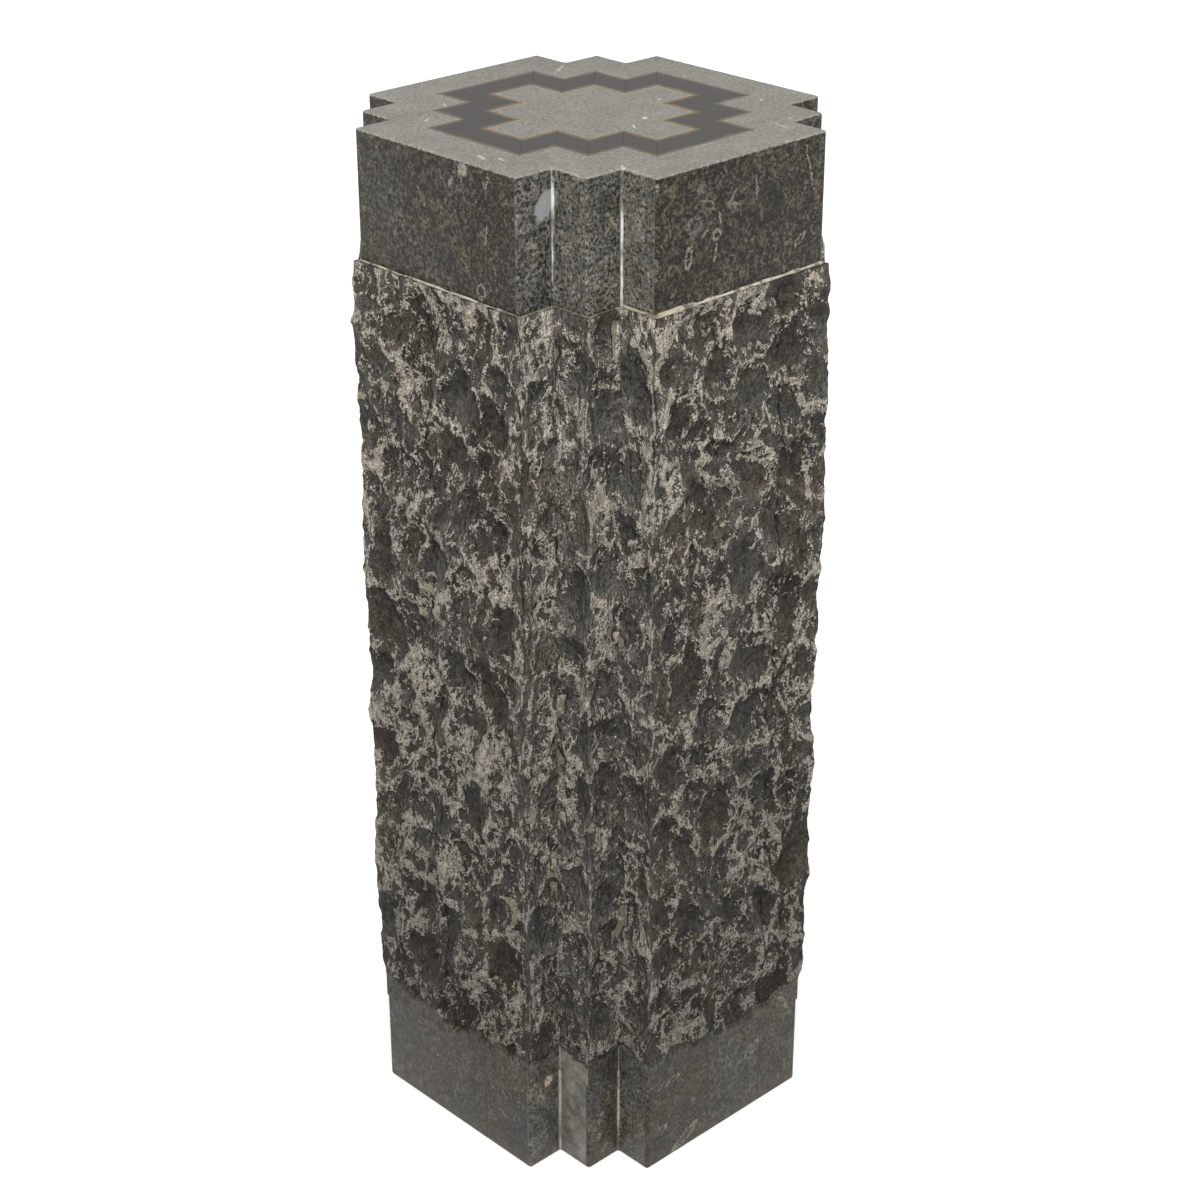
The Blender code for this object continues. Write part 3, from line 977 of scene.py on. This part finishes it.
def bead_rings():
    """The bead's path and section.

    Along the cap's outline the section is a quarter disc of radius r: (r cos t) outwards and
    (r sin t) upwards from the joint, closed a little inside the stone. The radius is the
    side's own size, swollen and thinned by a drift.
    """
    outline = stepped_corners(cap_half)
    turns = np.linspace(0.0, math.pi / 2, 5)
    outwards = np.concatenate([[-bead_foot], np.cos(turns), [-bead_foot]])
    upwards = np.concatenate([[0.0], np.sin(turns), [1.0]])
    rings = []
    for side in range(20):
        start, end, length, outward = side_line(outline, side)
        shares = np.linspace(0.0, 1.0, round(length / bead_pitch) + 1)[:-1]
        distance = shares * length
        size = np.full(len(shares), bead_sizes.get(side, bead_plain_size))
        swell = drift(distance, distance * 0, bead_swell_length, 500 + side)
        size *= bead_thinnest + bead_swell * swell
        size[0] = min(bead_sizes.get(side - 1, bead_plain_size), size[0])
        ways_out = np.tile(outward, (len(shares), 1))
        ways_out[0] += side_line(outline, side - 1)[3]
        reach = size[:, None] * np.maximum(outwards, 0.0) + np.minimum(outwards, 0.0)
        plan = start + (end - start) * shares[:, None]
        ring = np.empty((len(shares), len(turns) + 2, 3))
        ring[:, :, :2] = plan[:, None, :] + reach[:, :, None] * ways_out[:, None, :]
        ring[:, :, 2] = cap_low[2] - bead_sink + size[:, None] * upwards
        rings.append(ring)
    return np.concatenate(rings)


def make_bed_filler(name):
    """Cream filler, dirty in places and yellowed in others."""
    material, wire, shader = start_material(name)
    place = wire.place()
    dirt = wire.noise(place, 120.0, 4.0, 0.6)
    yellow = wire.noise(place, 25.0, 3.0)
    colour = wire.blend(wire.rise(yellow, 0.4, 0.6), (0.42, 0.385, 0.315), (0.31, 0.270, 0.200))
    colour = wire.blend(wire.rise(dirt, 0.46, 0.62), colour, (0.12, 0.105, 0.08))
    wire.put(shader.inputs["Base Color"], colour)
    wire.put(shader.inputs["Roughness"], wire.line(dirt, 0.2, 0.5))
    wire.bump(shader, dirt, 0.4, 0.001)
    return material


bead = bead_rings()
bead_rows, bead_count = bead.shape[:2]
bead_index = np.arange(bead_rows * bead_count).reshape(bead_rows, bead_count)
bead_ahead = np.roll(bead_index, -1, axis=0)
bead_sides = np.stack([bead_index, bead_ahead], axis=-1)
bead_quads = np.concatenate([bead_sides, np.roll(bead_sides, -1, axis=1)[:, :, ::-1]], axis=-1)
bead_mesh = build_mesh("bed_filler", bead, bead_quads.reshape(-1, 4).tolist())
bead_mesh.shade_smooth()
add_piece("bed_filler", bead_mesh, make_bed_filler("cream_filler"), "split_stone")

# Cap course
# The cap is clad like the base, with its top edge rubbed round. A shallow recess in its top,
# of the same stepped plan, takes the band and the centre field. The top is painted pale, for
# reflected light.
field_low, field_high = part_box("centre_field")
band_width = 0.033
inlay_joint = 0.0003
field_half = field_high[0] + inlay_joint / 2
band_half = field_half + band_width
recess_floor = field_low[2] - inlay_joint
arris_round = 0.0018
top_round = 0.002
rim_margin = 0.0002
recess_round = 0.00005
# Pale colour of the cap's top: painted reflected light.
top_reflection_colour = (0.240, 0.234, 0.206)
top_tone = 0.3
cap_seams = {4: (0.55,), 9: (0.72,), 14: (0.75,), 19: (0.38,)}
# Tile tones of the cap. The step facets 10 to 13 get high tones, painted light for the lit stone
# they reflect.
cap_tones_and_facet_light = {
    9: (0.10, -0.13), 10: (1.10,), 11: (1.45,), 12: (1.15,), 13: (1.58,), 14: (-0.02, 0.12)
}
cap_left = ("x", -cap_half)
cap_right = ("y", -cap_half)
cap_step = ("y", -(cap_half - corner_step))
cap_deep_step = ("y", -(cap_half - 2 * corner_step))
cap_top = ("z", cap_high[2])
cap_marks = (
    (cap_left, -0.062, 0.904, 0.0009, 0.0075, 12, 0),
    (cap_left, -0.02, 0.895, 0.0022, 0.006, 20, 0),
    (cap_left, 0.015, 0.876, 0.0014, 0.009, -30, 1),
    (cap_left, -0.0525, 0.815, 0.0052, 0.0068, 0, 1),
    (cap_left, -0.06, 0.862, 0.0008, 0.01, 6, 0),
    (cap_step, -0.104, 0.8745, 0.0018, 0.013, 36, 0),
    (cap_step, -0.11, 0.868, 0.0012, 0.007, -32, 0),
    (cap_right, 0.076, 0.888, 0.0009, 0.025, 16, 0),
    (cap_right, 0.0665, 0.831, 0.0072, 0.003, 36, 1),
    (cap_right, -0.026, 0.87, 0.0012, 0.007, 14, 0),
    (cap_right, -0.029, 0.856, 0.0055, 0.0042, 10, 1),
    (cap_right, -0.03, 0.842, 0.0016, 0.008, -12, 0),
    (cap_right, -0.06, 0.844, 0.0042, 0.01, -8, 1),
    (cap_right, -0.042, 0.86, 0.006, 0.0012, 40, 0),
    (cap_right, -0.095, 0.907, 0.003, 0.003, 0, 0),
    (cap_right, 0.015, 0.885, 0.0008, 0.012, 4, 0),
)
cap_cream_patch = ((cap_left, -0.034, 0.907, 0.0062, 0.0052, -40, 0),)
# A painted sheen beside the cove of the deep step.
cap_sheen_patch = ((cap_deep_step, -0.14, 0.887, 0.0135, 0.009, 62, 0),)
cap_shells = (
    (cap_right, -0.048, 0.896, 0.0042, 0.0042, 0, 0),
    (cap_right, -0.054, 0.869, 0.0085, 0.0075, 0, 1),
    (cap_right, -0.098, 0.845, 0.006, 0.008, 0, 1),
)
top_veins = (
    (cap_top, 0.076, 0.119, 0.012, 0.0016, 30, 0),
    (cap_top, -0.073, 0.097, 0.007, 0.0012, 60, 0),
    (cap_top, -0.113, 0.072, 0.006, 0.0012, 40, 0),
    (cap_top, -0.152, -0.037, 0.0085, 0.0022, 70, 0),
    (cap_top, -0.145, -0.052, 0.006, 0.0012, 75, 0),
    (cap_top, 0.0785, -0.133, 0.013, 0.0013, 84, 0),
    (cap_top, 0.1, -0.125, 0.006, 0.001, 10, 0),
    (cap_top, -0.093, -0.13, 0.006, 0.0013, 58, 0),
    (cap_top, 0.124, -0.0715, 0.003, 0.0014, 20, 0),
)


def paint_top_reflection(wire, place, stone):
    """Painted reflected light on cap stone: its grain in a pale colour, a little darker at the
    back.
    """
    grain = wire.line(wire.minus(stone.outputs["Grain"], 1.0), 1.2, 1.0)
    uneven_reflection = wire.line(wire.noise(place, 38.0, 4.0, 0.6), 0.55, 0.72)
    back = wire.rise(wire.vector("DOT_PRODUCT", place, (1.0, 1.0, 0.0)), 0.10, 0.30)
    grain = wire.times(grain, wire.line(back, -0.16, uneven_reflection))
    pale = wire.scaled(top_reflection_colour, grain)
    return wire.blend(0.85, wire.scaled(stone.outputs["Color"], 1.6), pale)


def make_cap_stone(name):
    """Cap stone: honed sides with shells, a painted sheen and painted highlights in the coves,
    and a top painted pale for reflected light, with a ragged rim.
    """
    material, wire, shader = start_material(name)
    place = wire.place()
    stone = wire.group(fossil_stone, Vector=place, Tone=wire.look("tile_tone"), Speckle=1.75)
    colour = add_marks(wire, place, stone.outputs["Color"], cap_marks, cream, 0.62)
    colour = add_marks(wire, place, colour, cap_shells, pale_grey, 0.60)
    colour = add_marks(wire, place, colour, cap_cream_patch, cream, 0.80, worn_and_lit=0.6)
    # Painted sheen: a pale grey patch beside the cove of the deep step.
    colour = add_marks(wire, place, colour, cap_sheen_patch, sheen_grey, 0.90, worn_and_lit=0.1)
    colour = dress_course(wire, place, colour, 0.72)
    edge = wire.line(wire.noise(place, 160.0, 4.0, 0.6), 0.0030, wire.parts(place)[2])
    on_top = wire.rise(edge, cap_high[2] - 0.0006, cap_high[2] + 0.0004)
    # Painted reflected light: the top and its ragged rim are drawn pale.
    worn_and_lit = paint_top_reflection(wire, place, stone)
    worn_and_lit = add_marks(wire, place, worn_and_lit, top_veins, (0.62, 0.56, 0.42), 0.75)
    colour = wire.blend(on_top, colour, worn_and_lit)
    finish_honed(wire, shader, place, stone, colour, 0.27, 0.12)
    return material


top_insets, top_falls = quarter_round(top_round)
recess_inset = cap_half - band_half
cap_insets = np.concatenate([
    [0.0],
    top_insets[::-1],
    [top_round + rim_margin, recess_inset, recess_inset],
])
cap_heights = np.concatenate([
    [cap_low[2]],
    cap_high[2] - top_falls[::-1],
    [cap_high[2], cap_high[2], recess_floor],
])
cap_rings = []
cap_looks = []
for level_inset in cap_insets:
    is_recess = level_inset == recess_inset
    ring, looks = course_ring(
        cap_half - level_inset,
        recess_round if is_recess else max(arris_round - level_inset, recess_round),
        recess_round if is_recess else cove_round + level_inset,
        cap_seams,
        cap_tones_and_facet_light,
    )
    if level_inset > top_round:
        looks = np.full(looks.shape, (top_tone, 0.0, 0.0))
    cap_rings.append(ring)
    cap_looks.append(looks)
cap_stone = make_cap_stone("cap_stone")
add_course("cap_course", cap_rings, cap_looks, cap_heights, cap_stone, "cap_block")

# Band and centre field
# The band is twenty mitred strips of an even dark stone, and the centre field is one plate of
# the cap's stone, both laid flush in the recess. Glue fills the mitres and stained the edges.
golden_stain = (0.200, 0.150, 0.088)


def make_stepped_inset():
    """Node group: how far a point lies inside a stepped square, in metres.

    The stepped square is three rectangles laid over each other, so the distance is the
    largest of min(a - |x|, b - |y|) over (a, b) = (h, h-2s), (h-s, h-s) and (h-2s, h).
    """
    tree, wire, ins, outs = start_group(
        "stepped_inset", {"Vector": "vector", "Half Width": "number"}, {"Inset": "number"}
    )
    from_middle = [wire.maths("ABSOLUTE", part) for part in wire.parts(ins["Vector"])[:2]]
    largest = -1.0
    for steps in ((0, 2), (1, 1), (2, 0)):
        inside = []
        for part, count in zip(from_middle, steps):
            reach = wire.minus(ins["Half Width"], count * corner_step)
            inside.append(wire.minus(reach, part))
        largest = wire.maths("MAXIMUM", wire.maths("MINIMUM", *inside), largest)
    wire.put(outs["Inset"], largest)
    return tree


stepped_inset = make_stepped_inset()


def add_inset(wire, place, half_width):
    """The distance inside the stepped outline of a half width."""
    return wire.group(stepped_inset, Vector=place, Half_Width=half_width).outputs["Inset"]


def make_band_stone(name):
    """Band: an even dark grey, stained for a few millimetres along both edges."""
    material, wire, shader = start_material(name)
    place = wire.place()
    from_inside = wire.times(add_inset(wire, place, field_half), -1.0)
    from_edge = wire.maths("MINIMUM", add_inset(wire, place, band_half), from_inside)
    cloud = wire.noise(place, 45.0, 4.0)
    ragged = wire.line(cloud, -0.0060, from_edge)
    stain = wire.rise(ragged, 0.0024, -0.0024)
    grey = wire.blend(cloud, (0.050, 0.047, 0.042), (0.066, 0.062, 0.055))
    colour = wire.lay(golden_stain, 0.70, stain, grey)
    gap = wire.rise(from_edge, 0.0006, 0.0001)
    colour = wire.lay((0.05, 0.035, 0.02), 0.5, gap, colour)
    wire.put(shader.inputs["Base Color"], colour)
    wire.put(shader.inputs["Roughness"], wire.line(cloud, 0.12, 0.28))
    fine = wire.noise(place, 800.0, 2.0)
    wire.bump(shader, fine, 0.05, 0.0003)
    return material


field_veins = (
    (cap_top, 0.0162, -0.0443, 0.0045, 0.0018, 40, 0),
    (cap_top, -0.008, -0.056, 0.006, 0.0009, 60, 0),
    (cap_top, 0.064, -0.012, 0.004, 0.0012, 20, 1),
)


def make_field_stone(name):
    """Centre field: cap stone painted pale for reflected light, with a thin golden edge."""
    material, wire, shader = start_material(name)
    place = wire.place()
    stone = wire.group(fossil_stone, Vector=place, Tone=top_tone, Speckle=1.0)
    # Painted reflected light: the field is drawn pale like the cap's top.
    worn_and_lit = paint_top_reflection(wire, place, stone)
    worn_and_lit = add_marks(wire, place, worn_and_lit, field_veins, (0.72, 0.68, 0.56), 0.85)
    ragged = wire.line(wire.noise(place, 80.0, 4.0), -0.004, add_inset(wire, place, field_half))
    stain = wire.rise(ragged, 0.0016, -0.0016)
    colour = wire.lay((0.33, 0.24, 0.11), 0.60, stain, worn_and_lit)
    finish_honed(wire, shader, place, stone, colour, 0.30, 0.12)
    return material


def repaint(node_name, material):
    """Give a CAD node a finish of its own."""
    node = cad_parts[node_name]
    node.data.materials.clear()
    node.data.materials.append(material)


band_stone = make_band_stone("band_stone")
for strip in range(1, 21):
    repaint(f"band_strip_{strip:02d}", band_stone)
repaint("centre_field", make_field_stone("field_stone"))

glue_width = 0.00024
glue_depth = 0.002
glue_drop = 0.00005


def mitre_glue():
    """Twenty thin bars of glue, one in each mitre, closed all round.

    A bar runs from a corner of the field to the same corner of the border, with half the
    glue's width to either side and its upper face a hair under the top.
    """
    inner = stepped_corners(field_half)
    outer = stepped_corners(band_half)
    way = (outer - inner) / np.linalg.norm(outer - inner, axis=1, keepdims=True)
    aside = np.stack([-way[:, 1], way[:, 0]], axis=1) * glue_width / 2
    plan = np.stack([inner - aside, outer - aside, outer + aside, inner + aside], axis=1)
    places = np.empty((20, 8, 3))
    places[:, :, :2] = np.tile(plan, (1, 2, 1))
    places[:, 4:, 2] = cap_high[2] - glue_drop
    places[:, :4, 2] = cap_high[2] - glue_drop - glue_depth
    bar = np.array([
        (3, 2, 1, 0), (4, 5, 6, 7), (0, 1, 5, 4), (1, 2, 6, 5), (2, 3, 7, 6), (3, 0, 4, 7)
    ])
    faces = bar + 8 * np.arange(20)[:, None, None]
    return build_mesh("mitre_glue", places, faces.reshape(-1, 4).tolist())


glue, glue_wire, glue_shader = start_material("mitre_glue")
glue_wire.put(glue_shader.inputs["Base Color"], (0.044, 0.039, 0.033))
glue_shader.inputs["Roughness"].default_value = 0.5
add_piece("mitre_glue", mitre_glue(), glue, "band_stone")
